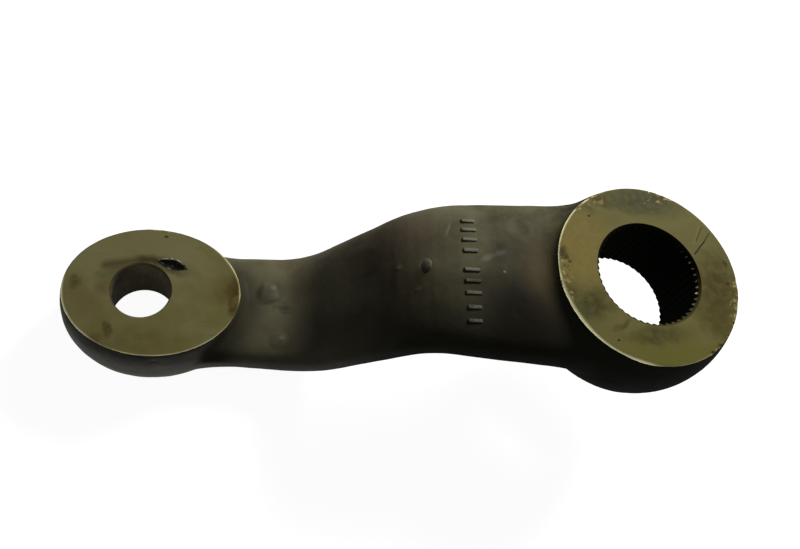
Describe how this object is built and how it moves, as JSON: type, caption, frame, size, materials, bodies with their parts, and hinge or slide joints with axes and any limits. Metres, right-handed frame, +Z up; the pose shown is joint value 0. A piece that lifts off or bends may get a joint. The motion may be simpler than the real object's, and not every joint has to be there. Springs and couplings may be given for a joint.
{
  "type": "pitman arm",
  "caption": "Cranked forged steel steering arm with a serrated taper bore in its big eye and a plain taper bore for a ball stud in its small eye.",
  "frame": {"origin": "on the big eye's bore axis, in its upper machined face", "axes": "+Z up the two parallel bore axes, out of the upper faces; +X from the big eye to the small eye"},
  "size_m": [0.2393, 0.0756, 0.0675],
  "materials": {
    "forged_steel": "satin"
  },
  "bodies": {
    "root": {"pitman_arm": "forged_steel"}
  },
  "joints": []
}
